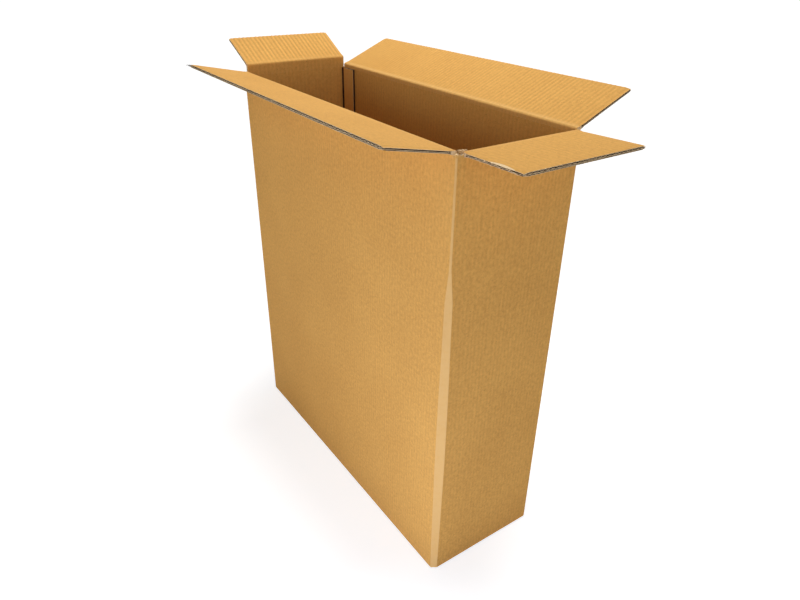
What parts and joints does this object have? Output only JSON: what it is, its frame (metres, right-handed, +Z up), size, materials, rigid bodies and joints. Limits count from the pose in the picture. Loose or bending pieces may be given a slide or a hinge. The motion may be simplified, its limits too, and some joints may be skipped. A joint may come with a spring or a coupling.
{
  "type": "shipping carton",
  "caption": "Tall narrow slotted shipping carton of double-wall corrugated kraft board, bottom flaps shut, top flaps hinged at their scores and standing open",
  "frame": {"origin": "on the floor under the middle of the whole object, with the open flaps counted", "axes": "+X along the long walls towards the right end wall, +Y from the front long wall to the back one, +Z up"},
  "size_m": [0.7604, 0.391, 0.7306],
  "materials": {
    "carton_board": "matt unprinted kraft liner, golden brown",
    "flap_board": "matt unprinted kraft liner, golden brown, open flutes on the cut edges"
  },
  "bodies": {
    "carton": {"carton_body": "carton_board"},
    "top_flap_front": {"top_flap_front": "flap_board"},
    "top_flap_back": {"top_flap_back": "flap_board"},
    "top_flap_left": {"top_flap_left": "flap_board"},
    "top_flap_right": {"top_flap_right": "flap_board"}
  },
  "joints": [
    {"name": "front_flap_fold", "type": "hinge", "parent": "carton", "child": "top_flap_front", "pos_m": [-0.01293, -0.0973, 0.6835], "axis": [1, 0, 0], "range_deg": [-168.5, 36.5]},
    {"name": "back_flap_fold", "type": "hinge", "parent": "carton", "child": "top_flap_back", "pos_m": [-0.01293, 0.1023, 0.6835], "axis": [-1, 0, 0], "range_deg": [-157, 48]},
    {"name": "right_flap_fold", "type": "hinge", "parent": "carton", "child": "top_flap_right", "pos_m": [0.28087, 0.0025, 0.6798], "axis": [0, 1, 0], "range_deg": [-178, 27]},
    {"name": "left_flap_fold", "type": "hinge", "parent": "carton", "child": "top_flap_left", "pos_m": [-0.30673, 0.0025, 0.694], "axis": [0, -1, 0], "range_deg": [-154.7, 50.3]}
  ]
}
